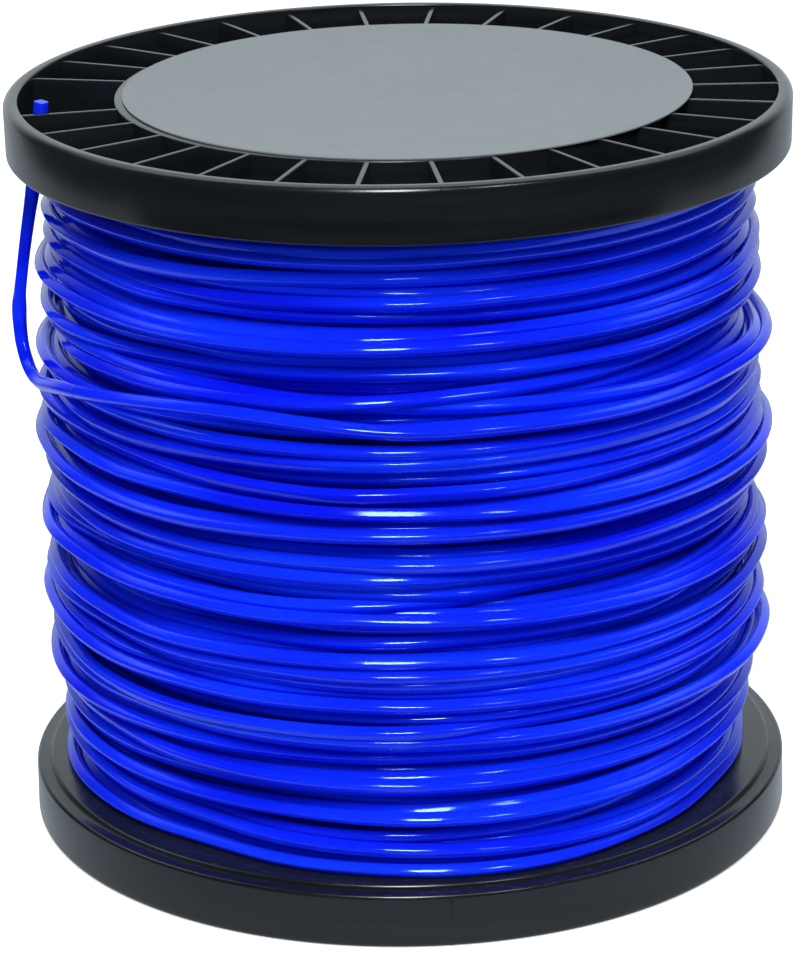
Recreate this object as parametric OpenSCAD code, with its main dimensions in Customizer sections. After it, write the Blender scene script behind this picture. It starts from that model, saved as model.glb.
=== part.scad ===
// Spool of square trimmer line: two ribbed flanges on a barrel, the winding,
// its free end tied off through the top flange, and a round label.
// Millimetres, +Z up. Origin: middle of the bottom rim, on the surface it stands on.

/* [Spool] */
// Diameter of both flanges
flange_d = 200; // [170:1:260]
// Clear width between the flanges, where the line is wound
traverse = 162.5; // [100:0.5:260]
// Outer diameter of the barrel that the line is wound on
barrel_d = 144; // [90:1:160]
// Bore for the spindle that the spool turns on
bore_d = 22; // [12:0.5:40]

/* [Flange] */
// Depth of a flange, from the edge it stands on to the face the line lies against
flange_depth = 15.5; // [9:0.5:30]
// Thickness of the web that closes the flange towards the line
web_t = 2.5; // [1.6:0.1:4]
// Thickness of the outer rim
rim_wall = 3.7; // [2.4:0.1:6]
// How far the rim's inner edge is set back from the winding face
rim_step = 1.3; // [0.6:0.1:3]
// Radius of the rim's outer corner
rim_round = 1.8; // [0.6:0.1:2.2]
// Radius of the rim's corner towards the line
step_round = 1; // [0.3:0.1:1.6]
// Number of rib places round the flange (one of them is left out on the top flange)
rib_count = 30; // [12:2:48]
// Thickness of a rib
rib_t = 1.5; // [1:0.1:3]
// How far the ribs and the hub lie below the rim's edge
rib_drop = 1; // [0:0.1:3]
// Wall of the hub ring that holds the barrel
hub_wall = 2.2; // [1.6:0.1:4]
// Thickness of the hub plate under the label
plate_t = 2.5; // [1.6:0.1:4]

/* [Barrel and arbor] */
// Wall of the barrel
barrel_wall = 2.5; // [1.6:0.1:5]
// Wall of the barrel's spigots
spigot_wall = 2; // [1.4:0.1:4]
// How far a spigot reaches into its flange
spigot_len = 9; // [4:0.5:12]
// Wall of the arbor tube
arbor_wall = 3; // [2:0.1:6]
// Depth of the socket that holds each end of the arbor tube
socket_len = 6; // [3:0.5:9]
// Wall of that socket
socket_wall = 2.5; // [1.6:0.1:4]
// Clearance on each side of a pushed-in joint
fit_gap = 0.1; // [0.05:0.05:0.3]

/* [Label] */
// Diameter of the label
label_d = 145; // [90:1:165]
// Thickness of the label
label_t = 0.5; // [0.2:0.1:1]
// Distance of the label's middle from the axis, to the right
label_x = 2.4; // [0:0.1:4]
// Distance of the label's middle from the axis, to the back
label_y = 1.3; // [0:0.1:4]

/* [Line] */
// Side of the line's square section
line_s = 3; // [1.6:0.1:4]
// Largest diameter of the winding
winding_d = 190; // [160:1:194]
// Diameter of the winding against the top flange
winding_top_d = 181; // [150:1:190]
// Diameter of the winding against the bottom flange
winding_bottom_d = 183; // [150:1:190]
// Height over which the winding swells to its full diameter at each end
winding_shoulder = 32; // [10:1:45]
// Play of the line in its tie-off hole, across corners
hole_play = 1.4; // [0.6:0.1:3]

/* [Hidden] */
$fn = 128;
eps = 0.4;                                // overlap of shapes joined in one piece

flange_r = flange_d / 2;
barrel_r = barrel_d / 2;
bore_r = bore_d / 2;
rim_r = flange_r - rim_wall;              // inside of the rim
height = traverse + 2 * flange_depth;     // rim edge to rim edge
face_bottom = flange_depth;               // winding faces of the two flanges
face_top = height - flange_depth;
hub_in_r = barrel_r - hub_wall;           // inside of the hub ring
spigot_r = hub_in_r - fit_gap;            // the spigot fits the hub ring
plate_in = rib_drop + plate_t;            // inner face of the hub plate
arbor_r = bore_r + arbor_wall;
socket_r = arbor_r + fit_gap;             // the socket fits the arbor tube
rib_a = 360 / rib_count;
open_a = 180;                             // bearing of the bay with no rib

winding_r = winding_d / 2;
line_diag = line_s * sqrt(2);
tube_r = 1.23 * line_s / 2;               // round stand-in for the square line
laid_out = 0.6 * line_s;                  // middle of a line that lies on the winding

// Route of the free end, which leaves the winding, swings out and up, passes the web
// and stands in the open bay beside a rib: [bearing from that rib, distance outside a
// line that lies on the winding, height above the top winding face].
end_route = [
    [22, 0, -47], [17, 0, -49], [12, 0, -50.5], [7, 0.2, -51.5], [3, 0.6, -51],
    [0, 1.2, -48.5], [-1.8, 1.8, -44], [-2.8, 1.8, -36], [-3.3, 0.6, -27.5],
    [-3.7, -1.2, -17], [-3.8, -2.9, -8], [-3.5, -4.2, 0], [-3.1, -5, 6],
    [-2.8, -5.8, 12], [-2.6, -6.3, 16.7]
];
hole_i = 11;                              // the route's point in the tie-off hole
hole_r = line_diag / 2 + hole_play / 2;

function at(p) = let (a = open_a + rib_a + p[0], r = winding_r + laid_out + p[1])
    [r * cos(a), r * sin(a), face_top + p[2]];
function spline(a, b, c, d, t) = 0.5 * (2 * b + (c - a) * t
    + (2 * a - 5 * b + 4 * c - d) * t * t + (3 * b - a - 3 * c + d) * t * t * t);
function unit(v) = v / norm(v);
function pick(l, i) = l[max(0, min(len(l) - 1, i))];

end_knots = [for (p = end_route) at(p)];
end_line = [for (i = [0 : len(end_knots) - 2], t = [0, 0.5])
                spline(pick(end_knots, i - 1), end_knots[i], end_knots[i + 1],
                       pick(end_knots, i + 2), t),
            end_knots[len(end_knots) - 1]];

// A closed tube of 8 sides along a line of points that runs round the axis.
module swept_tube(pts, r) {
    n = len(pts);
    s = 8;
    ring = [for (i = [0 : n - 1])
        let (t = unit(pick(pts, i + 1) - pick(pts, i - 1)),
             out = unit([pts[i][0], pts[i][1], 0]),
             u = unit(cross(t, out)),
             v = cross(u, t))
        for (k = [0 : s - 1])
            let (a = 360 * (k + 0.5) / s) pts[i] + r * (cos(a) * u + sin(a) * v)];
    sides = [for (i = [0 : n - 2], k = [0 : s - 1])
        let (a = i * s + k, b = i * s + (k + 1) % s) [a, b, b + s, a + s]];
    polyhedron(points = ring,
        faces = concat(sides, [[for (k = [s - 1 : -1 : 0]) k]],
                       [[for (k = [0 : s - 1]) (n - 1) * s + k]]));
}

// Half section of the rim: r outwards, z from the edge it stands on.
module rim_section() {
    h = flange_depth - rim_step;
    translate([rim_r, 0]) square([rim_wall - rim_round, h]);
    translate([rim_r, rim_round]) square([rim_wall, h - rim_round - step_round]);
    translate([rim_r, h / 2]) square([rim_wall - step_round, h / 2]);
    translate([flange_r - rim_round, rim_round]) circle(rim_round, $fn = 64);
    translate([flange_r - step_round, h - step_round]) circle(step_round, $fn = 64);
}

module tube_section(r_in, r_out, z_low, z_high)
    translate([r_in, z_low]) square([r_out - r_in, z_high - z_low]);

module rib(a)
    rotate([0, 0, a])
        translate([barrel_r - eps, -rib_t / 2, rib_drop])
            cube([rim_r - barrel_r + 2 * eps, rib_t,
                  flange_depth - web_t - rib_drop + eps]);

// One flange, standing on the edge that faces away from the line.
module flange(skip_a = undef) {
    union() {
        rotate_extrude() rim_section();
        rotate_extrude() union() {
            tube_section(hub_in_r, rim_r + eps, flange_depth - web_t, flange_depth);
            tube_section(hub_in_r, barrel_r, rib_drop, flange_depth);
            tube_section(bore_r, hub_in_r + eps, rib_drop, plate_in);
            tube_section(socket_r, socket_r + socket_wall, plate_in - eps,
                         plate_in + socket_len);
        }
        for (i = [0 : rib_count - 1])
            if (skip_a == undef || abs(i * rib_a - skip_a) > rib_a / 2)
                rib(i * rib_a);
    }
}

module bottom_flange()
    color([0.05, 0.055, 0.06]) flange();

module top_flange()
    color([0.05, 0.055, 0.06])
        difference() {
            translate([0, 0, height]) mirror([0, 0, 1]) flange(open_a);
            translate([end_knots[hole_i][0], end_knots[hole_i][1], face_top - 1])
                cylinder(r = hole_r, h = web_t + 2, $fn = 48);
        }

module barrel()
    color([0.05, 0.055, 0.06])
        rotate_extrude() union() {
            tube_section(barrel_r - barrel_wall, barrel_r, face_bottom, face_top);
            for (z = [face_bottom - spigot_len, face_top - spigot_len])
                tube_section(spigot_r - spigot_wall, spigot_r, z, z + 2 * spigot_len);
            for (z = [face_bottom, face_top - spigot_len])
                tube_section(spigot_r - eps, barrel_r - barrel_wall + eps, z,
                             z + spigot_len);
        }

module arbor_tube()
    color([0.05, 0.055, 0.06])
        rotate_extrude() tube_section(bore_r, arbor_r, plate_in, height - plate_in);

module wound_line()
    color([0.03, 0.06, 0.9])
        rotate_extrude() polygon([
            [barrel_r, face_bottom], [winding_bottom_d / 2, face_bottom],
            [winding_r, face_bottom + winding_shoulder],
            [winding_r, face_top - winding_shoulder],
            [winding_top_d / 2, face_top], [barrel_r, face_top]]);

module line_end()
    color([0.03, 0.06, 0.9]) swept_tube(end_line, tube_r);

module label()
    color([0.6, 0.63, 0.65])
        translate([label_x, label_y, height - rib_drop])
            cylinder(d = label_d, h = label_t);

top_flange();
bottom_flange();
barrel();
arbor_tube();
wound_line();
line_end();
label();
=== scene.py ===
# %% [markdown]
# # A spool of square trimmer line
# Two black moulded flanges with thin radial ribs hold a thick winding of blue
# nylon line, whose free end is tied off through the top flange. The CAD model
# gives every size and place. Here the plain solids get their looks: rounded
# mould edges, a winding laid turn by turn, and finishes for each material.

# %% The CAD frame
import math
import bpy
import bmesh
import numpy as np
from mathutils import Matrix, Vector


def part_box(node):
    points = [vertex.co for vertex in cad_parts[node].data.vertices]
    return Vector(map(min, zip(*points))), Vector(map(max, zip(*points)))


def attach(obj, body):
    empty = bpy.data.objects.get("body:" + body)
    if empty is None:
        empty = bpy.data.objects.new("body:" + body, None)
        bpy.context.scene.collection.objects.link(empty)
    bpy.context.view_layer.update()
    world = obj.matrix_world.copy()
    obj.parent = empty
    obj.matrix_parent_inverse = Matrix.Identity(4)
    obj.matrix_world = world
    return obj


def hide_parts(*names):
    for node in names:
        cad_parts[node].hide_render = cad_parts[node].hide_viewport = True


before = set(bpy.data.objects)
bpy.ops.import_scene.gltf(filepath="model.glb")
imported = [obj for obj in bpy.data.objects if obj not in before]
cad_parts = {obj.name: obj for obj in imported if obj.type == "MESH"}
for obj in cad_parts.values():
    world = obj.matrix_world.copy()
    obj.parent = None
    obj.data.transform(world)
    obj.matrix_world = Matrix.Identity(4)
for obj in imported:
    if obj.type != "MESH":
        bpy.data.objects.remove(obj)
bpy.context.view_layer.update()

mm = 0.001
print("nodes:", sorted(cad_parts))

# %% [markdown]
# ## Sizes
# Places come from the boxes of the CAD nodes, so that this script follows the
# model. Only the sizes that a box can't tell, such as a wall or a corner's
# radius, are written here, with the same names as in the CAD source.

# %% Sizes of the spool and its line
flange_low, flange_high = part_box("top_flange")
flange_r = (flange_high[0] - flange_low[0]) / 2
spool_top = flange_high[2]
face_top = flange_low[2]                     # the line lies between these two
face_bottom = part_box("bottom_flange")[1][2]
flange_depth = spool_top - face_top
barrel_r = (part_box("barrel")[1][0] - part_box("barrel")[0][0]) / 2
bore_r = 11 * mm

rim_wall = 3.7 * mm
rim_step = 1.3 * mm
rim_round = 1.8 * mm
step_round = 1.0 * mm
rim_r = flange_r - rim_wall
web_t = 2.5 * mm
hub_wall = 2.2 * mm
plate_t = 2.5 * mm
arbor_wall = 3.0 * mm
fit_gap = 0.1 * mm
socket_wall = 2.5 * mm
socket_len = 6.0 * mm
rib_count = 30
rib_t = 1.5 * mm
rib_drop = 1.0 * mm
rib_reach = 0.4 * mm                         # how far a rib runs into hub and rim
rib_taper = 0.86                             # thickness of its free edge, as a share
rib_round = 0.25 * mm
open_bay = 180                               # bearing of the bay with no rib
seam_bearing = 275.5                         # bearing of the mould's parting line
seam_wide = 0.45 * mm
seam_proud = 0.1 * mm                        # how far the parting line stands out
rim_draft = 0.15 * mm                        # the rim's wall leans in by this much
hole_r = 2.82 * mm                           # tie-off hole

line_s = 3.0 * mm                            # side of the square line
squareness = 6.0                             # 2 is round, 4 is a square with soft edges
line_length = 130.0                          # metres of line on a full spool
winding_r = 95 * mm
print(f"flange {2000 * flange_r:.0f} mm, spool {1000 * spool_top:.1f} mm high,",
      f"line between {1000 * face_bottom:.1f} and {1000 * face_top:.1f} mm")

# %% [markdown]
# ## The camera
# The camera comes first, because the free end of the line is checked against
# what it sees. It looks down at the spool from about a metre away with a long
# lens, which keeps the two rims nearly parallel, and it leans by one degree.

# %% Camera
camera_at = Vector((0, -0.9651, 0.4252))
looks_down = math.radians(19.29)
looks_left = math.radians(0.1)
leans = math.radians(-1.1)

lens_data = bpy.data.cameras.new("camera")
camera = bpy.data.objects.new("camera", lens_data)
bpy.context.scene.collection.objects.link(camera)
turn = (Matrix.Rotation(looks_left, 4, "Z")
        @ Matrix.Rotation(math.radians(90) - looks_down, 4, "X")
        @ Matrix.Rotation(leans, 4, "Z"))
camera.matrix_world = Matrix.Translation(camera_at) @ turn
lens_data.lens = 145.8
lens_data.sensor_width = 36
lens_data.clip_start = 0.05
lens_data.clip_end = 50
bpy.context.scene.camera = camera
print("camera", [round(v, 3) for v in camera.location], "lens", lens_data.lens)

# %% [markdown]
# ## Helpers
# A few small tools that the cells below share. Operators act on everything
# that is selected, so each piece starts by selecting nothing at all.

# %% Helpers for objects
def choose(*objects):
    """Selects only these objects and makes the first one active."""
    bpy.ops.object.select_all(action="DESELECT")
    for o in objects:
        o.select_set(True)
    bpy.context.view_layer.objects.active = objects[0] if objects else None


def name_piece(o, name):
    o.name = name
    o.data.name = name
    return o


def settle(o):
    """Puts the object's place into its mesh, so that it sits at the origin."""
    choose(o)
    bpy.ops.object.transform_apply(location=True, rotation=True, scale=True)
    return o


def join(objects, name):
    choose(*objects)
    bpy.ops.object.join()
    return name_piece(objects[0], name)


def triangles(o):
    return sum(len(p.vertices) - 2 for p in o.data.polygons)


# %% [markdown]
# ## The section of the line
# Trimmer line of this kind is extruded with a square section: edges cut better
# than a round line does. The section is a soft square, with rounded edges and
# sides that bulge by a hair, and the edges catch the light as thin bright
# dashes. One formula gives the outline. It is swept along the line's path as a
# curve's bevel, and the tilt of each point turns the square as the line twists.

# %% Section curves
def soft_square(count):
    """Outline of the line's section: a superellipse, anticlockwise."""
    a = np.arange(count) / count * 2 * math.pi + math.pi / count
    r = line_s / 2 / (np.abs(np.cos(a)) ** squareness
                      + np.abs(np.sin(a)) ** squareness) ** (1 / squareness)
    return np.stack([r * np.cos(a), r * np.sin(a)], 1)


def section_curve(name, count):
    data = bpy.data.curves.new(name, "CURVE")
    spline = data.splines.new("POLY")
    spline.points.add(count - 1)
    for p, (x, y) in zip(spline.points, soft_square(count)):
        p.co = (x, y, 0, 1)
    spline.use_cyclic_u = True
    o = bpy.data.objects.new(name, data)
    bpy.context.scene.collection.objects.link(o)
    return o


fine_section = section_curve("fine_section", 20)
plain_section = section_curve("plain_section", 8)
print("points in the sections:", [len(o.data.splines[0].points)
                                  for o in (fine_section, plain_section)])

# %% Sweep a section along the line
def swept_line(name, points, tilts, section):
    """A mesh of the line along points, in metres, turned by tilts, in radians."""
    data = bpy.data.curves.new(name, "CURVE")
    data.dimensions = "3D"
    data.twist_mode = "Z_UP"
    data.bevel_mode = "OBJECT"
    data.bevel_object = section
    data.use_fill_caps = True
    spline = data.splines.new("POLY")
    spline.points.add(len(points) - 1)
    coords = np.ones((len(points), 4))
    coords[:, :3] = points
    spline.points.foreach_set("co", coords.ravel())
    spline.points.foreach_set("tilt", np.asarray(tilts, float))
    o = bpy.data.objects.new(name, data)
    bpy.context.scene.collection.objects.link(o)
    choose(o)
    bpy.ops.object.convert(target="MESH")
    bpy.ops.object.shade_smooth()
    o = name_piece(bpy.context.object, name)
    print(f"{name}: {len(points)} points, {triangles(o)} triangles")
    return o


# %% [markdown]
# ## The free end
# The line's end leaves the winding at the left, swings out past it, and goes up
# through a hole in the flange's web, where its cut stub stands beside a rib.
# Stiff nylon holds this open bow by itself. The route is the one that the CAD
# tube follows: bearing, distance outside the full winding, and height above the
# winding's top face.

# %% Route of the free end
end_route = [
    (214, 1.8, -47.2), (209, 1.8, -48.4), (204, 1.8, -50), (199, 2, -51.5),
    (195, 2.4, -51), (192, 3, -48.5), (190.2, 3.6, -44), (189.2, 3.6, -36),
    (188.7, 2.4, -27.5), (188.3, 0.6, -17), (188.2, -1.1, -8), (188.5, -2.4, 0),
    (188.9, -3.2, 6), (189.2, -4, 12), (189.4, -4.5, 16.7)]
hole_knot = 11                               # the knot in the tie-off hole


def around(bearing, r, z):
    a = math.radians(bearing)
    return Vector((r * math.cos(a), r * math.sin(a), z))


def spline_through(knots, steps):
    """Points on a smooth curve through the knots, steps to each stretch."""
    out = []
    for i in range(len(knots) - 1):
        a, b, c, d = (knots[max(0, min(len(knots) - 1, j))] for j in range(i - 1, i + 3))
        for s in range(steps):
            t = s / steps
            out.append(0.5 * (2 * b + (c - a) * t + (2 * a - 5 * b + 4 * c - d) * t * t
                              + (3 * b - a - 3 * c + d) * t ** 3))
    return out + [knots[-1]]


end_knots = [around(b, winding_r + out * mm, face_top + up * mm)
             for b, out, up in end_route]
end_path = spline_through(end_knots, 6)
end_twist = np.linspace(math.pi / 4, 1.25, len(end_path))
line_end = swept_line("free_end", end_path, end_twist, fine_section)
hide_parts("line_end")
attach(line_end, "root")

# %% [markdown]
# ## The winding
# About 250 turns lie on the barrel. The first layers go on side by side. The
# later ones wander, ride over each other and twist, which gives the dark gaps
# and the crossings that a loosely wound spool shows. A list of rings would look
# stacked, so the line is laid as a winding machine lays it: one continuous line
# on a height map of the barrel, in steps of five degrees.
#
# For each turn, the guide says roughly where the line goes. The line slides
# sideways into the nearest valley, rests on what is already there, and is
# pulled taut, so that it bridges the hollows on both sides of a crossing.

# %% Height map of the barrel
steps = 72                                   # steps in one turn
cell = 0.5 * mm                              # height of one cell of the map
rows = int(round((face_top - face_bottom) / cell)) + 1
wall_gap = line_s / 2 + 0.2 * mm             # from a flange to the line's middle
low_z, high_z = face_bottom + wall_gap, face_top - wall_gap
side = np.arange(-4, 5) * cell               # cells that the line can cover


def row_of(z):
    return np.clip(np.round((z - face_bottom) / cell).astype(int), 0, rows - 1)


def height_table(count=45):
    """How high the section stands above its middle, by tilt and by cell."""
    dense = soft_square(1440)
    table = np.full((count, len(side)), np.nan)
    for i in range(count):
        a = i / count * math.pi / 2
        x = dense[:, 0] * math.cos(a) - dense[:, 1] * math.sin(a)
        y = dense[:, 0] * math.sin(a) + dense[:, 1] * math.cos(a)
        for j, at in enumerate(side):
            near = y[np.abs(x - at) < 0.04 * mm]
            if len(near):
                table[i, j] = near.max()
    return table


tops = height_table()
print("map:", steps, "by", rows, "cells; section is",
      [round(1000 * float(np.nanmax(t)), 2) for t in (tops[0], tops[len(tops) // 2])],
      "mm from middle to top, flat and on edge")

# %% Height of the section at a tilt
def top_of(tilt):
    return tops[(np.mod(tilt, math.pi / 2) / (math.pi / 2) * len(tops)).astype(int)
                % len(tops)]


# %% The guide and the twist
def wander(rng, count, scale):
    """Smooth random values about 1 in size that change over scale samples."""
    keys = rng.normal(0, 1, int(count / scale) + 4)
    x = np.arange(count) / scale
    i, f = x.astype(int), x % 1
    f = f * f * (3 - 2 * f)
    return keys[i] * (1 - f) + keys[i + 1] * f


edge_out = math.radians(53)                  # usual tilt: an edge faces out
most_turns = 300                             # more than a spool of this size takes


def guide_path(rng, pitch, neat_layers, sway, sway_turns, ripple, uneven, roll):
    count = most_turns * steps
    slow = wander(rng, count, steps * sway_turns)
    quick = wander(rng, count, steps * 0.45)
    pace = wander(rng, count, steps * 3.0)
    z, layer = np.empty(count), np.empty(count, int)
    at, way, n = low_z, 1, 0
    for k in range(count):
        stride = pitch / steps * (1 + uneven * pace[k] if n >= neat_layers else 1)
        at += way * max(stride, 0.35 * pitch / steps)
        if not low_z < at < high_z:
            at, way, n = min(max(at, low_z), high_z), -way, n + 1
        z[k], layer[k] = at, n
    loose = np.convolve(np.where(layer >= neat_layers, 1.0, 0.1),
                        np.ones(steps) / steps, "same")
    z = np.clip(z + loose * (sway * slow + ripple * quick), low_z, high_z)
    tilt = edge_out + roll * wander(rng, count, steps * 1.1)
    return z, tilt


# %% Slide sideways
offsets = np.arange(-5, 6) * cell            # how far it may slide off the guide
ahead = 24                                   # steps looked at beyond the turn
off_guide = 0.15                             # cost of leaving the guide, by distance
against_bend = 20000                         # cost of a kink, by its square
against_jump = 6000                          # cost of not starting where it stopped


def slide_sideways(heights, guide, z_before, seek):
    """The row of each step: near the guide, low on the map, and without kinks."""
    column = np.arange(len(guide)) % steps
    window = np.lib.stride_tricks.sliding_window_view(
        np.pad(heights, ((0, 0), (2, 2)), mode="edge"), 5, axis=1)
    load = 0.6 * window.mean(-1) + 0.4 * window.max(-1)
    z = np.clip(guide[:, None] + offsets, low_z, high_z)
    cost = seek * load[column[:, None], row_of(z)] + off_guide * np.abs(offsets)
    bend = against_bend * (offsets[None, :] - offsets[:, None]) ** 2
    total = cost[0] + against_jump * (guide[0] + offsets - z_before) ** 2
    came = np.zeros(cost.shape, int)
    for k in range(1, len(guide)):
        through = total[:, None] + bend
        came[k] = through.argmin(0)
        total = cost[k] + through.min(0)
    pick = [int(total.argmin())]
    for k in range(len(guide) - 1, 0, -1):
        pick.append(came[k][pick[-1]])
    z = np.clip(guide + offsets[pick[::-1]], low_z, high_z)
    soft = np.hanning(21)[1:-1]
    padded = np.concatenate([[z_before] * 10, z, [z[-1]] * 10])
    return np.convolve(padded, soft / soft.sum(), "same")[10:-10]


# %% Pull taut, and add the line to the map
def pull_taut(rest, r_before):
    """Raises each radius to a straight line between its neighbours, half way."""
    r = rest.copy()
    span = math.cos(2 * math.pi / steps)
    for _ in range(80):
        a = np.concatenate([[r_before], r[:-1]])
        b = np.concatenate([r[1:], r[-1:]])
        r = np.maximum(rest, 0.5 * (2 * a * b * span / (a + b) + rest))
    return r


def raise_map(heights, r, z, top):
    """Adds the line at r and z, a sample for each step, to the height map."""
    sample, cells = np.nonzero(~np.isnan(top))
    np.maximum.at(heights, (sample % steps, row_of(z[:, None] + side)[sample, cells]),
                  r[sample] + np.maximum(top[sample, cells], -0.3 * mm))


# %% Lay the line, turn by turn
def lay_line(seed, seek, **habits):
    guide, tilt = guide_path(np.random.default_rng(seed), **habits)
    heights = np.full((steps, rows), barrel_r)
    z_before, r_before, laid, turns = guide[0], barrel_r + line_s / 2, 0.0, []
    while laid < 1.07 * line_length:
        start = len(turns) * steps
        g, t = (v[start:start + steps + ahead] for v in (guide, tilt))
        z = slide_sideways(heights, g, z_before, seek)
        column = np.arange(steps + ahead) % steps
        top = top_of(t)
        under = heights[column[:, None], row_of(z[:, None] + side)]
        touch = np.nan_to_num(under + top[:, ::-1])
        r = pull_taut(np.sort(touch, 1)[:, -3:].mean(1), r_before)[:steps]
        z, top = z[:steps], top[:steps]
        z_before, r_before = z[-1], r[-1]
        raise_map(heights, r, z, top)
        turns.append(np.stack([r, z, t[:steps]]))
        laid += r.mean() * 2 * math.pi
    return np.concatenate(turns, axis=1)


r_all, z_all, t_all = lay_line(seed=8, seek=0.25, pitch=4.7 * mm, neat_layers=3,
                               sway=3.4 * mm, sway_turns=1.8, ripple=1.5 * mm,
                               uneven=0.45, roll=0.16)
print(len(r_all) // steps, "turns laid, largest radius",
      round(1000 * float(r_all.max()), 1), "mm")

# %% [markdown]
# The line is cut where it passes the height at which the free end leaves, after
# the length that a full spool holds. The height map is then made again from what
# is left, and it says where the surface came out.

# %% Cut the line to its length
crossings = np.nonzero(np.diff(np.sign(z_all - end_knots[0].z)))[0]
so_far = np.cumsum(np.minimum(r_all, winding_r - line_s / 2)) * 2 * math.pi / steps
end_at = int(crossings[np.argmin(np.abs(so_far[crossings] - line_length))])
r_all, z_all, t_all = (v[:end_at + 1] for v in (r_all, z_all, t_all))
heights = np.full((steps, rows), barrel_r)
raise_map(heights, r_all, z_all, top_of(t_all))
print(len(r_all) // steps, "turns kept, mean radius of the surface",
      round(1000 * float(heights.mean()), 1), "mm")

# %% [markdown]
# The real winding has an outline of its own: it swells from its two ends and
# waves a little between them, and its foot, which rests on the bottom flange,
# stands out in front and lies back at both sides. So all that lies near the
# surface is moved in or out together, by the distance between the map's smoothed
# peaks and that outline, and the strands keep their places on each other. What
# lies deeper is squeezed or stretched towards the barrel.

# %% Outline of the winding
# height on the barrel, and radius there, in millimetres
swell = [(0, 92.3), (5, 92.0), (14, 92.0), (22, 92.0), (31, 94.0), (44, 95.0),
         (64, 93.9), (84, 94.5), (95, 95.0), (105, 94.7), (122, 93.2), (134, 92.2),
         (150, 91.6), (162.5, 91.6)]
outline_z, outline_r = np.array(swell).T * mm
outline_z += face_bottom
outer_depth = 8 * mm                         # all above this depth moves together
held_from, held_over = -0.6 * mm, 1.2 * mm   # no strand stands far out of the rest

# bearing, and how far the foot stands out there, in millimetres
foot = [(0, -3), (30, -1), (175, 0), (205, -0.5), (228, -3.4), (242, -2.6), (256, 0),
        (270, 1.8), (285, 2.6), (298, 2.0), (313, -0.6), (330, -3.3), (350, -3.2)]
foot_bearing, foot_out = np.array(foot).T
foot_high = 30 * mm                          # the foot fades out at this height
(first_bearing, first_out, _), (next_bearing, _, _) = end_route[:2]
print("outline from", swell[0], "to", swell[-1], "mm, widest", max(r for _, r in swell))

# %% Smoothed surface of the map
def smoothed(values, width, mode):
    weights = np.hanning(width + 2)[1:-1]
    padded = np.pad(values, width // 2, mode=mode)
    return np.convolve(padded, weights / weights.sum(), "valid")


window = np.lib.stride_tricks.sliding_window_view(
    np.pad(heights, ((0, 0), (5, 5)), mode="edge"), 11, axis=1)
peaks = window.max(-1)


def eased(values, along, around):
    values = np.apply_along_axis(smoothed, 1, values, along, "edge")
    return np.apply_along_axis(smoothed, 0, values, around, "wrap")


# Near the flanges the fit is close, and closest for the turn that lies against
# each of them. Between them the ridges of the winding stay.
row = np.arange(rows)
from_end = np.minimum(row, row[::-1]) * cell
between = np.clip((from_end - 4 * mm) / (10 * mm), 0, 1)
surface = (1 - between) * eased(peaks, along=11, around=7) \
    + between * eased(peaks, along=45, around=17)
near, at_wall = int(line_s / 2 / cell), from_end < line_s
for half, turn_rows in ((row < rows // 2, heights[:, near:near + 3]),
                        (row > rows // 2, heights[:, -near - 3:-near])):
    surface[:, at_wall & half] = smoothed(turn_rows.max(1), 9, "wrap")[:, None]
print("surface between", *(round(1000 * float(v), 1)
                           for v in (surface.min(), surface.max())), "mm")

# %% Fit the winding to its outline
def fitted(step, r, z):
    top = surface[step, row_of(z)]
    bearing = first_bearing + (end_at - step) * 360 / steps
    low_down = np.clip(1 - (z - face_bottom) / foot_high, 0, 1)
    goal = np.interp(z, outline_z, outline_r) \
        + low_down * mm * np.interp(bearing, foot_bearing, foot_out, period=360)
    inner = barrel_r + (r - barrel_r) * (goal - outer_depth - barrel_r) \
        / np.maximum(top - outer_depth - barrel_r, 1 * mm)
    moved = np.where(r > top - outer_depth, r + goal - top, inner)
    limit = goal + held_from
    held = limit + held_over * np.tanh((moved - limit) / held_over)
    return np.where(moved > limit, held, moved)


step_all = np.arange(len(r_all)) % steps
r_all = smoothed(fitted(step_all, r_all, z_all), 5, "edge")
z_all = smoothed(z_all, 9, "edge")
print("fitted", len(r_all), "points")

# %% Run into the free end
run_in = 12                                  # steps that lead into the free end
to_go = end_at - np.arange(len(r_all))
blend = np.clip(1 - to_go / run_in, 0, 1)
blend = blend * blend * (3 - 2 * blend)
step_slope = 360 / steps / (first_bearing - next_bearing)
drop = (end_knots[0].z - end_knots[1].z) * step_slope
r_all += blend * (winding_r + first_out * mm - r_all)
z_all += blend * (end_knots[0].z + drop * to_go - z_all)
t_all += blend * (end_twist[0] - t_all)
bearing_all = math.radians(first_bearing) + to_go * 2 * math.pi / steps
print("largest radius", round(1000 * float(r_all.max()), 1), "mm")

# %% [markdown]
# The line is one, but it is built as four meshes. The layers that nothing can
# see have a plain section and one point every five degrees, and the outer ones
# get the rounded section and twice the points.

# %% Meshes of the winding
def finer(v):
    """Doubles the points of a path by smooth interpolation."""
    p = np.concatenate([[v[0]], v, [v[-1]]])
    middle = (9 * (p[1:-2] + p[2:-1]) - p[:-3] - p[3:]) / 16
    out = np.empty(2 * len(v) - 1)
    out[0::2], out[1::2] = v, middle
    return out


def line_between(name, first, last, section, smooth):
    r, z, t, a = (v[first:last + 1] for v in (r_all, z_all, t_all, bearing_all))
    if smooth:
        r, z, t, a = (finer(v) for v in (r, z, t, a))
    points = np.stack([r * np.cos(a), r * np.sin(a), z], 1)
    piece = swept_line(name, points, t, section)
    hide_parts("wound_line")
    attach(piece, "root")
    return piece


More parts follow.
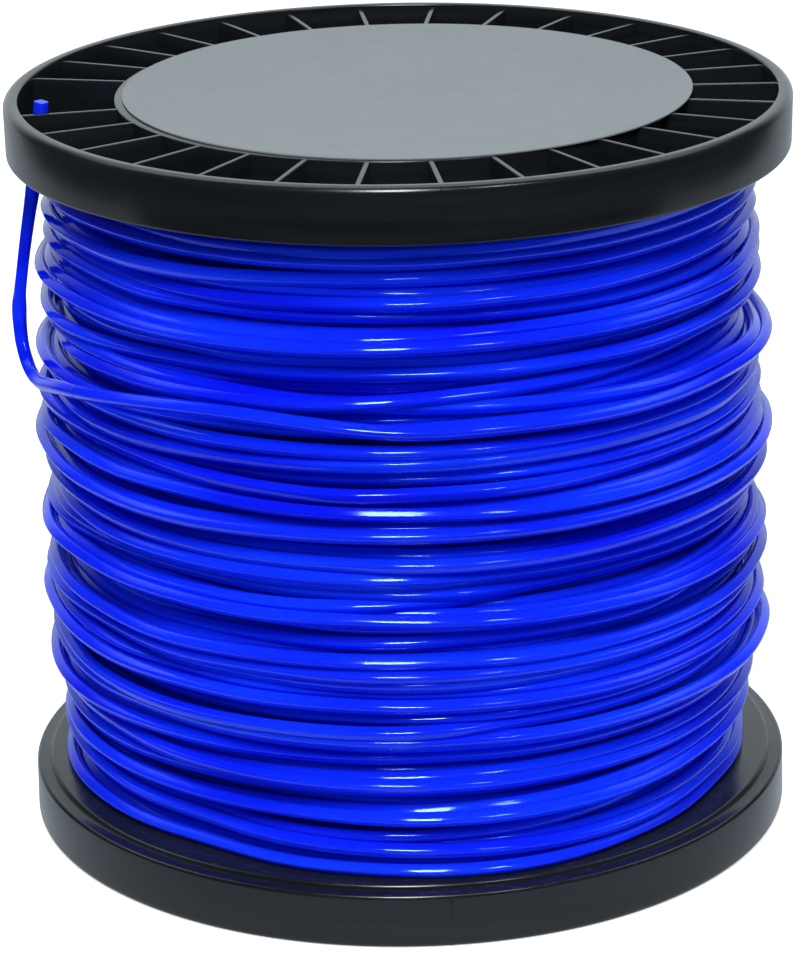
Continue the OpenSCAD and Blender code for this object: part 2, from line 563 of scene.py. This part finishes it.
last = len(r_all) - 1
outer = 32 * steps                           # samples in each of the outer meshes
cuts = [0, last - 3 * outer, last - 2 * outer, last - outer, last]
winding = [line_between("wound_line_inner", cuts[0], cuts[1], plain_section, False)]
for name, a, b in zip("abc", cuts[1:], cuts[2:]):
    winding.append(line_between(f"wound_line_outer_{name}", a, b, fine_section, True))
length = sum(np.hypot(np.hypot(np.diff(r_all * np.cos(bearing_all)),
                               np.diff(r_all * np.sin(bearing_all))), np.diff(z_all)))
print(f"line on the spool: {length:.1f} m")

for section in (fine_section, plain_section):
    bpy.data.objects.remove(section)

# %% [markdown]
# ## The flanges
# Each flange is one moulding: a rim with rounded corners, a web, a hub ring and
# a hub plate, all turned around one axis. Its section is drawn once, as a closed
# outline, and spun about the axis. Small arcs at the corners give the soft
# highlights that a moulded edge has and that a sharp CAD edge lacks.

# %% Outline of a flange
def arc(r, z, radius, start, stop, count):
    angles = [math.radians(start + (stop - start) * i / (count - 1))
              for i in range(count)]
    return [(r + radius * math.cos(a), z + radius * math.sin(a)) for a in angles]


def flange_outline():
    """Section of a flange that stands on its outer edge: r, z, anticlockwise."""
    edge = flange_depth - rim_step
    deep = flange_depth - web_t
    bore_round, hub_round, lip, root, shoulder = (
        v * mm for v in (0.35, 0.4, 0.5, 1.0, 1.1))
    plate_in = rib_drop + plate_t
    hub_in = barrel_r - hub_wall
    socket_r = bore_r + arbor_wall + fit_gap
    socket_out = socket_r + socket_wall
    wall_r = flange_r - rim_draft - step_round
    points = arc(bore_r + bore_round, rib_drop + bore_round, bore_round, 180, 270, 3)
    points += arc(barrel_r - hub_round, rib_drop + hub_round, hub_round, 270, 360, 6)
    points += arc(barrel_r + root, deep - root, root, 180, 90, 4)
    points += arc(rim_r - root, deep - root, root, 90, 0, 4)
    points += arc(rim_r + lip, lip, lip, 180, 270, 4)
    points += arc(flange_r - rim_round, rim_round, rim_round, 270, 360, 7)
    points += arc(wall_r, edge - step_round, step_round, 0, 90, 7)
    points += [(rim_r + lip, edge)]
    points += arc(rim_r - shoulder, flange_depth - shoulder, shoulder, 0, 90, 7)
    points += [(hub_in, flange_depth), (hub_in, plate_in), (socket_out, plate_in),
               (socket_out, plate_in + socket_len), (socket_r, plate_in + socket_len),
               (socket_r, plate_in), (bore_r, plate_in)]
    return points


flange_section = flange_outline()
print("flange outline:", len(flange_section), "points")

# %% Turn an outline round the axis
def turned(name, outline, segments, smooth, closed=True):
    """Spins an outline once round the axis; sharper corners than smooth stay."""
    mesh = bpy.data.meshes.new(name)
    n = len(outline)
    edges = [(i, (i + 1) % n) for i in range(n if closed else n - 1)]
    mesh.from_pydata([(r, 0, z) for r, z in outline], edges, [])
    o = bpy.data.objects.new(name, mesh)
    bpy.context.scene.collection.objects.link(o)
    choose(o)
    bpy.ops.object.mode_set(mode="EDIT")
    bpy.ops.mesh.select_all(action="SELECT")
    bpy.ops.mesh.spin(steps=segments, angle=2 * math.pi, center=(0, 0, 0), axis=(0, 0, 1))
    bpy.ops.mesh.select_all(action="SELECT")
    bpy.ops.mesh.remove_doubles(threshold=0.00001)
    bpy.ops.mesh.normals_make_consistent(inside=False)
    bpy.ops.object.mode_set(mode="OBJECT")
    bpy.ops.object.shade_smooth_by_angle(angle=math.radians(smooth))
    print(name, "turned:", triangles(o), "triangles")
    return o


# %% [markdown]
# The ribs are thin blades between the hub ring and the rim. One is modelled: a
# cube, stretched to its length, tapered a little towards its free edge as a
# moulding must be to leave its mould, with that edge rounded by a bevel. The
# others are copies of it, turned about the axis.

# %% One rib
def rib_blade():
    bpy.ops.object.select_all(action="DESELECT")
    length = rim_r - barrel_r + 2 * rib_reach
    tall = flange_depth - web_t - rib_drop + 0.3 * mm
    middle = rib_drop + tall / 2
    bpy.ops.mesh.primitive_cube_add(
        size=1, location=((rim_r + barrel_r) / 2, 0, middle))
    rib = bpy.context.object
    rib.scale = (length, rib_t, tall)
    settle(rib)
    bpy.ops.object.mode_set(mode="EDIT")
    bpy.ops.mesh.select_all(action="DESELECT")
    form = bmesh.from_edit_mesh(rib.data)
    for v in form.verts:                     # the free edge is the low one here
        if v.co.z < middle:
            v.co.y *= rib_taper
    for e in form.edges:
        along = abs((e.verts[0].co - e.verts[1].co).x) > length / 2
        if along and all(v.co.z < middle for v in e.verts):
            e.select_set(True)
    bmesh.update_edit_mesh(rib.data)
    bpy.ops.mesh.bevel(offset=rib_round, segments=3, profile=0.5)
    bpy.ops.mesh.select_all(action="DESELECT")
    bpy.ops.object.mode_set(mode="OBJECT")
    bpy.ops.object.shade_smooth_by_angle(angle=math.radians(50))
    print(f"rib: {1000 * length:.1f} mm long, {triangles(rib)} triangles")
    return rib


def ribs_of(name, left_out):
    first = rib_blade()
    blades = []
    for i in range(rib_count):
        bearing = i * 360 / rib_count
        if left_out is not None and abs(bearing - left_out) < 1:
            continue
        blade = first.copy()
        blade.data = first.data.copy()
        bpy.context.scene.collection.objects.link(blade)
        blade.rotation_euler = (0, 0, math.radians(bearing))
        blades.append(blade)
    bpy.data.objects.remove(first)
    print(name, "has", len(blades), "ribs")
    return settle(join(blades, name))


# %% [markdown]
# The mould is made of two halves that open sideways, and where they meet a fine
# raised line is left up the outside of the rim. It is a thin bar, pressed into
# the wall so that only a hair of it stands out, and a second one sits opposite.

# %% Parting lines of the mould
def parting_bar(name, bearing):
    thick, tall = 1.2 * mm, flange_depth - rim_step
    bpy.ops.object.select_all(action="DESELECT")
    bpy.ops.mesh.primitive_cube_add(
        size=1, location=(flange_r + seam_proud - thick / 2, 0, tall / 2))
    bar = bpy.context.object
    bar.scale = (thick, seam_wide, tall - thick)
    settle(bar)
    modifier = bar.modifiers.new("round", "BEVEL")
    modifier.width = 0.14 * mm
    modifier.segments = 2
    choose(bar)
    bpy.ops.object.modifier_apply(modifier="round")
    bpy.ops.object.shade_smooth_by_angle(angle=math.radians(60))
    bar.rotation_euler = (0, 0, math.radians(bearing))
    settle(bar)
    print(name, "at", bearing % 360, "degrees")
    return name_piece(bar, name)


# %% One flange
def flange(name, upper):
    body = turned(name + "_body", flange_section, 192, 38)
    ribs = ribs_of(name + "_ribs", open_bay if upper else None)
    bars = [parting_bar(f"{name}_seam_{i}", seam_bearing + 180 * i) for i in range(2)]
    if upper:                                # turned over: mirrored in height
        for o in [body, ribs] + bars:
            choose(o)
            o.scale.z = -1
            o.location.z = spool_top
            settle(o)
            bpy.ops.object.mode_set(mode="EDIT")
            bpy.ops.mesh.select_all(action="SELECT")
            bpy.ops.mesh.normals_make_consistent(inside=False)
            bpy.ops.object.mode_set(mode="OBJECT")
    return body, ribs, bars


def cut_round_hole(body, at, radius):
    bpy.ops.object.select_all(action="DESELECT")
    bpy.ops.mesh.primitive_cylinder_add(vertices=40, radius=radius, depth=20 * mm,
                                        location=at)
    drill = bpy.context.object
    modifier = body.modifiers.new("hole", "BOOLEAN")
    modifier.object = drill
    modifier.solver = "EXACT"
    choose(body)
    bpy.ops.object.modifier_apply(modifier="hole")
    bpy.data.objects.remove(drill)


# %% Both flanges
flange_pieces = []
for name, upper in (("bottom_flange", False), ("top_flange", True)):
    body, ribs, bars = flange(name, upper)
    if upper:
        hole = end_knots[hole_knot]
        cut_round_hole(body, (hole.x, hole.y, face_top), hole_r)
    piece = join([body, ribs] + bars, name + "_moulding")
    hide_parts(name)
    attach(piece, "root")
    flange_pieces.append(piece)
    print(piece.name, triangles(piece), "triangles")

# %% [markdown]
# ## The label
# A round label covers the hub. It is a stiff film, not quite centred, so a
# crescent of the hub ring shows at one side. The disc is a thin cylinder whose
# rim is rounded, with enough rings inside to let it wave by a hair, as a glued
# sheet does, so that its sheen is not dead flat.

# %% Label
label_low, label_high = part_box("label")
label_r = (label_high[0] - label_low[0]) / 2
label_mid = ((label_low[0] + label_high[0]) / 2, (label_low[1] + label_high[1]) / 2)
label_top = label_high[2]
under = label_low[2] + 0.02 * mm
edge_round = 0.15 * mm
wave = 0.05 * mm                             # how far the film waves
ring_shares = (0.98, 0.95, 0.9, 0.83, 0.75, 0.66, 0.56, 0.45, 0.34, 0.22, 0.1, 0)

label_outline = [(0, under), (label_r - 0.1 * mm, under)]
label_outline += arc(label_r - edge_round, label_top - edge_round, edge_round, 0, 90, 4)
label_outline += [(label_r * share, label_top) for share in ring_shares]


def label_disc():
    disc = turned("label_film", label_outline, 144, 40, closed=False)
    for v in disc.data.vertices:
        x, y, z = v.co
        if z > label_top - 0.01 * mm:
            v.co.z = z - wave * (1 + math.sin(70 * x + 1) * math.sin(55 * y + 2))
    disc.location = (label_mid[0], label_mid[1], 0)
    return settle(disc)


label = label_disc()
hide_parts("label")
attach(label, "root")
print("label radius", round(1000 * label_r, 1), "mm,", triangles(label), "triangles")

# %% [markdown]
# ## Shared effects
# Three effects are node groups, which any finish can use: the fine grain of a
# moulded or extruded surface, the faint dust and handling marks that collect on
# what faces up, and bands, a colour that changes fast in height and slowly round
# the spool. On the line the bands are painted light and shade: lighter and darker
# strands in place of the shade that bundles of strands cast. On the rims they
# give faint horizontal bands a shade lighter.

# %% Helpers for node trees
def new_group(name, inputs, outputs):
    group = bpy.data.node_groups.new(name, "ShaderNodeTree")
    for label_text, kind, value in inputs:
        socket = group.interface.new_socket(label_text, in_out="INPUT", socket_type=kind)
        socket.default_value = value
    for label_text, kind in outputs:
        group.interface.new_socket(label_text, in_out="OUTPUT", socket_type=kind)
    return group, group.nodes.new("NodeGroupInput"), group.nodes.new("NodeGroupOutput")


def link(tree, a, b):
    tree.links.new(a, b)


# %% Node group: grain
def fine_grain():
    group, given, out = new_group(
        "fine_grain",
        [("Size", "NodeSocketFloat", 900.0), ("Rough Low", "NodeSocketFloat", 0.35),
         ("Rough High", "NodeSocketFloat", 0.5)],
        [("Height", "NodeSocketFloat"), ("Roughness", "NodeSocketFloat")])
    where = group.nodes.new("ShaderNodeTexCoord")
    noise = group.nodes.new("ShaderNodeTexNoise")
    noise.inputs["Detail"].default_value = 5
    slow = group.nodes.new("ShaderNodeTexNoise")
    slow.inputs["Scale"].default_value = 45
    slow.inputs["Detail"].default_value = 3
    spread = group.nodes.new("ShaderNodeMapRange")
    spread.inputs["From Min"].default_value = 0.3
    spread.inputs["From Max"].default_value = 0.7
    for n in (noise, slow):
        link(group, where.outputs["Object"], n.inputs["Vector"])
    link(group, given.outputs["Size"], noise.inputs["Scale"])
    link(group, slow.outputs["Fac"], spread.inputs["Value"])
    link(group, given.outputs["Rough Low"], spread.inputs["To Min"])
    link(group, given.outputs["Rough High"], spread.inputs["To Max"])
    link(group, noise.outputs["Fac"], out.inputs["Height"])
    link(group, spread.outputs["Result"], out.inputs["Roughness"])
    return group


grain = fine_grain()
print(grain.name, "has", len(grain.nodes), "nodes")

# %% Node group: dust
def light_dust():
    group, given, out = new_group(
        "light_dust", [("Amount", "NodeSocketFloat", 0.1)], [("Mask", "NodeSocketFloat")])
    where = group.nodes.new("ShaderNodeTexCoord")
    speck = group.nodes.new("ShaderNodeTexNoise")
    speck.inputs["Scale"].default_value = 620
    speck.inputs["Detail"].default_value = 4
    patch = group.nodes.new("ShaderNodeTexNoise")
    patch.inputs["Scale"].default_value = 28
    sharp = group.nodes.new("ShaderNodeMapRange")
    sharp.inputs["From Min"].default_value = 0.52
    sharp.inputs["From Max"].default_value = 0.72
    facing = group.nodes.new("ShaderNodeNewGeometry")
    split = group.nodes.new("ShaderNodeSeparateXYZ")
    up = group.nodes.new("ShaderNodeMapRange")
    up.inputs["From Min"].default_value = 0.3
    up.inputs["From Max"].default_value = 1.0
    first, second, third = (group.nodes.new("ShaderNodeMath") for _ in range(3))
    for n in (first, second, third):
        n.operation = "MULTIPLY"
    for n in (speck, patch):
        link(group, where.outputs["Object"], n.inputs["Vector"])
    link(group, speck.outputs["Fac"], sharp.inputs["Value"])
    link(group, facing.outputs["Normal"], split.inputs["Vector"])
    link(group, split.outputs["Z"], up.inputs["Value"])
    link(group, sharp.outputs["Result"], first.inputs[0])
    link(group, patch.outputs["Fac"], first.inputs[1])
    link(group, first.outputs[0], second.inputs[0])
    link(group, up.outputs["Result"], second.inputs[1])
    link(group, second.outputs[0], third.inputs[0])
    link(group, given.outputs["Amount"], third.inputs[1])
    link(group, third.outputs[0], out.inputs["Mask"])
    return group


dust = light_dust()
print(dust.name, "has", len(dust.nodes), "nodes")

# %% Node group: bands
def slow_bands():
    group, given, out = new_group(
        "slow_bands",
        [("Size", "NodeSocketFloat", 15.0), ("In Height", "NodeSocketFloat", 7.0)],
        [("Mask", "NodeSocketFloat")])
    where = group.nodes.new("ShaderNodeTexCoord")
    scale = group.nodes.new("ShaderNodeCombineXYZ")
    scale.inputs["X"].default_value = 1
    scale.inputs["Y"].default_value = 1
    stretch = group.nodes.new("ShaderNodeMapping")
    noise = group.nodes.new("ShaderNodeTexNoise")
    noise.inputs["Detail"].default_value = 1
    spread = group.nodes.new("ShaderNodeMapRange")
    spread.inputs["From Min"].default_value = 0.3
    spread.inputs["From Max"].default_value = 0.7
    link(group, given.outputs["In Height"], scale.inputs["Z"])
    link(group, scale.outputs["Vector"], stretch.inputs["Scale"])
    link(group, where.outputs["Object"], stretch.inputs["Vector"])
    link(group, given.outputs["Size"], noise.inputs["Scale"])
    link(group, stretch.outputs["Vector"], noise.inputs["Vector"])
    link(group, noise.outputs["Fac"], spread.inputs["Value"])
    link(group, spread.outputs["Result"], out.inputs["Mask"])
    return group


bands = slow_bands()
print(bands.name, "has", len(bands.nodes), "nodes")

# %% [markdown]
# ## Black moulded plastic
# The spool is black polystyrene with a satin skin. Its own colour is almost
# nothing, so what is seen is the reflection: grey along the rounded edges,
# nearly black on the walls. A faint grain breaks the highlights up, faint
# horizontal bands are a shade lighter, and a little dust lies on the faces
# that look up.

# %% Helpers for finishes
def new_material(name):
    material = bpy.data.materials.new(name)
    material.use_nodes = True
    tree = material.node_tree
    return material, tree, tree.nodes["Principled BSDF"]


def use_group(tree, group, **values):
    node = tree.nodes.new("ShaderNodeGroup")
    node.node_tree = group
    for key, value in values.items():
        node.inputs[key.replace("_", " ")].default_value = value
    return node


def bump_from(tree, height, shader, strength, distance):
    bump = tree.nodes.new("ShaderNodeBump")
    bump.inputs["Strength"].default_value = strength
    bump.inputs["Distance"].default_value = distance
    link(tree, height, bump.inputs["Height"])
    link(tree, bump.outputs["Normal"], shader.inputs["Normal"])


def mix_colour(tree, mask, a, b):
    """b where the mask is 1, else a; each is a colour or a socket."""
    mix = tree.nodes.new("ShaderNodeMix")
    mix.data_type = "RGBA"
    for name, colour in (("A", a), ("B", b)):
        if isinstance(colour, tuple):
            mix.inputs[name].default_value = (*colour, 1)
        else:
            link(tree, colour, mix.inputs[name])
    link(tree, mask, mix.inputs["Factor"])
    return mix.outputs["Result"]


# %% Finish: spool plastic
plastic, tree, shader = new_material("black_plastic")
skin = use_group(tree, grain, Size=1100.0, Rough_Low=0.17, Rough_High=0.24)
specks = use_group(tree, dust, Amount=0.14)
# Faint horizontal bands, a shade lighter than the rest of the plastic.
rim_streaks = use_group(tree, bands, Size=16.0, In_Height=22.0)
streaked_base = mix_colour(tree, rim_streaks.outputs["Mask"], (0.0050, 0.0062, 0.0074),
                    (0.0095, 0.0112, 0.0125))
link(tree, mix_colour(tree, specks.outputs["Mask"], streaked_base, (0.16, 0.16, 0.15)),
     shader.inputs["Base Color"])
link(tree, skin.outputs["Roughness"], shader.inputs["Roughness"])
bump_from(tree, skin.outputs["Height"], shader, 0.03, 0.00005)
shader.inputs["IOR"].default_value = 1.5
shader.inputs["Specular IOR Level"].default_value = 0.4
print(plastic.name, "has", len(tree.nodes), "nodes")

# %% [markdown]
# ## Nylon line
# The line is dyed right through with a strong royal blue and drawn out hot,
# which leaves it smooth and glossy with fine streaks along its length. The
# blue is deep where the strands shade each other and burns bright where light
# falls on a face, because the nylon lets some light in: scattering under the
# skin carries it round the edges. On top of that, light and shade are painted
# into the colour: the bands make some strands a lighter blue and others a
# darker one, as a painted stand-in for the shade that bundles of strands cast.

# %% Finish: nylon line
nylon, tree, shader = new_material("blue_nylon")
skin = use_group(tree, grain, Size=420.0, Rough_Low=0.07, Rough_High=0.12)
# Painted light and shade: bands of lighter and darker blue, strand by strand.
painted_shade_bands = use_group(tree, bands, Size=15.0, In_Height=7.0)
link(tree, mix_colour(tree, painted_shade_bands.outputs["Mask"], (0.003, 0.008, 0.72),
                      (0.005, 0.036, 1.0)), shader.inputs["Base Color"])
link(tree, skin.outputs["Roughness"], shader.inputs["Roughness"])
bump_from(tree, skin.outputs["Height"], shader, 0.05, 0.0001)
shader.inputs["IOR"].default_value = 1.5
shader.inputs["Specular IOR Level"].default_value = 0.5
shader.inputs["Specular Tint"].default_value = (0.4, 0.76, 1.0, 1)
shader.inputs["Subsurface Weight"].default_value = 0.7
shader.inputs["Subsurface Radius"].default_value = (0.2, 0.5, 1.0)
shader.inputs["Subsurface Scale"].default_value = 2.5 * mm
print(nylon.name, "has", len(tree.nodes), "nodes")

# %% [markdown]
# ## Label film
# The label is left plain: one neutral grey on a satin film, with the faint
# mottling of paper under its coating.

# %% Finish: label film
film, tree, shader = new_material("grey_film")
skin = use_group(tree, grain, Size=260.0, Rough_Low=0.52, Rough_High=0.58)
fibres = tree.nodes.new("ShaderNodeTexNoise")
where = tree.nodes.new("ShaderNodeTexCoord")
link(tree, where.outputs["Object"], fibres.inputs["Vector"])
fibres.inputs["Scale"].default_value = 160
fibres.inputs["Detail"].default_value = 6
link(tree, mix_colour(tree, fibres.outputs["Fac"], (0.205, 0.224, 0.236),
                      (0.235, 0.256, 0.270)), shader.inputs["Base Color"])
link(tree, skin.outputs["Roughness"], shader.inputs["Roughness"])
shader.inputs["Specular IOR Level"].default_value = 0.2
bump_from(tree, skin.outputs["Height"], shader, 0.15, 0.00008)
print(film.name, "has", len(tree.nodes), "nodes")

# %% Put the finishes on
def dress(o, material):
    o.data.materials.clear()
    o.data.materials.append(material)


for piece in flange_pieces:
    dress(piece, plastic)
for piece in winding + [line_end]:
    dress(piece, nylon)
dress(label, film)
for node in ("barrel", "arbor_tube"):
    dress(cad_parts[node], plastic)
print("finishes:", plastic.name, nylon.name, film.name)

# %% [markdown]
# ## The studio
# The floor and the surroundings are shaded by small sums of values, so the few
# nodes for them get helpers. They add to the tree of nodes that is being built.

# %% Helpers for values
def ramp(value, low, high, at_low, at_high):
    node = tree.nodes.new("ShaderNodeMapRange")
    node.interpolation_type = "SMOOTHSTEP"
    for socket, number in (("From Min", low), ("From Max", high),
                           ("To Min", at_low), ("To Max", at_high)):
        node.inputs[socket].default_value = number
    link(tree, value, node.inputs["Value"])
    return node.outputs["Result"]


def reckon(operation, a, b):
    node = tree.nodes.new("ShaderNodeMath")
    node.operation = operation
    link(tree, a, node.inputs[0])
    link(tree, b, node.inputs[1])
    return node.outputs[0]


def choice(factor, a, b):
    """b where factor is 1, else a; each is a number or a socket."""
    node = tree.nodes.new("ShaderNodeMix")
    node.data_type = "FLOAT"
    link(tree, factor, node.inputs["Factor"])
    for socket, value in (("A", a), ("B", b)):
        if isinstance(value, float):
            node.inputs[socket].default_value = value
        else:
            link(tree, value, node.inputs[socket])
    return node.outputs["Result"]


# %% [markdown]
# ## Light and floor
# The spool stands on white paper whose front edge ends just before it, in front
# of a bright backdrop, in an otherwise dim room. Two soft panels high in front
# light it, a tall one and a small one: they draw the two columns of bright
# dashes on the line. Black plastic and blue nylon stay deep, because what they
# mirror at the front is the dim room, and only their silhouettes mirror the
# backdrop.

# %% Floor
bpy.ops.object.select_all(action="DESELECT")
bpy.ops.mesh.primitive_plane_add(size=1, location=(0, 0, 0))
floor = bpy.context.object
wide, deep, before = 1.3, 6.0, 0.15          # metres; before: in front of the axis
floor.scale = (wide, deep, 1)
floor.location = (0, deep / 2 - before, 0)
settle(floor)
name_piece(floor, "floor")
paper, tree, shader = new_material("floor_paper")
path = tree.nodes.new("ShaderNodeLightPath")
link(tree, mix_colour(tree, path.outputs["Is Glossy Ray"], (0.92, 0.92, 0.92),
                      (0.40, 0.46, 0.52)), shader.inputs["Base Color"])
shader.inputs["Roughness"].default_value = 1.0
shader.inputs["Specular IOR Level"].default_value = 0.0
shader.inputs["Emission Color"].default_value = (1, 1, 1, 1)
strength = choice(path.outputs["Is Camera Ray"], 0.0, 0.6)
for seen_in in ("Is Glossy Ray", "Is Transmission Ray"):
    strength = choice(path.outputs[seen_in], strength, 0.2)
link(tree, strength, shader.inputs["Emission Strength"])
dress(floor, paper)
print("floor", wide, "by", deep, "m")

# %% Lamps
aim_z = 0.1                                  # the lamps look at half height


def panel(name, at, width, tall, radiance):
    data = bpy.data.lights.new(name, "AREA")
    data.shape = "RECTANGLE"
    data.size, data.size_y = width, tall
    data.energy = radiance * math.pi * width * tall
    lamp = bpy.data.objects.new(name, data)
    bpy.context.scene.collection.objects.link(lamp)
    lamp.location = at
    aim = Vector((0, 0, aim_z)) - Vector(at)
    lamp.rotation_euler = aim.to_track_quat("-Z", "Y").to_euler()
    lamp.visible_camera = False
    print(name, "at", [round(v, 2) for v in at], f"{data.energy:.1f} W")
    return lamp


def placed(bearing, lift, distance):
    """A place round the spool: bearing from the front, to the right, and lift."""
    a, e = math.radians(bearing), math.radians(lift)
    return (distance * math.sin(a) * math.cos(e), -distance * math.cos(a) * math.cos(e),
            aim_z + distance * math.sin(e))


panel("left_panel", placed(bearing=-3, lift=52, distance=1.6),
      width=0.29, tall=0.72, radiance=34)
panel("right_panel", placed(bearing=34, lift=51, distance=1.6),
      width=0.16, tall=0.36, radiance=18)

# %% Surroundings
world = bpy.data.worlds.new("surroundings")
bpy.context.scene.world = world
world.use_nodes = True
tree = world.node_tree
background = tree.nodes["Background"]
where = tree.nodes.new("ShaderNodeTexCoord")
split = tree.nodes.new("ShaderNodeSeparateXYZ")
link(tree, where.outputs["Generated"], split.inputs["Vector"])

backdrop = reckon("MULTIPLY", ramp(split.outputs["Y"], 0.60, 0.94, 0.05, 1.0),
                  ramp(split.outputs["Z"], 0.55, 0.80, 1.0, 0.12))
overhead = reckon("MULTIPLY", ramp(split.outputs["Y"], 0.0, 0.3, 0.0, 1.0),
                  ramp(split.outputs["Z"], 0.5, 0.85, 0.0, 2.4))
room = reckon("ADD", backdrop, overhead)
path = tree.nodes.new("ShaderNodeLightPath")
strength = choice(path.outputs["Is Glossy Ray"], 0.42, room)
strength = choice(path.outputs["Is Transmission Ray"], strength, room)
strength = choice(path.outputs["Is Camera Ray"], strength, 1.0)
link(tree, strength, background.inputs["Strength"])
tint = mix_colour(tree, path.outputs["Is Camera Ray"], (0.84, 0.94, 1.0), (1, 1, 1))
link(tree, tint, background.inputs["Color"])

bpy.context.scene.view_settings.view_transform = "Standard"
print("surroundings have", len(tree.nodes), "nodes")
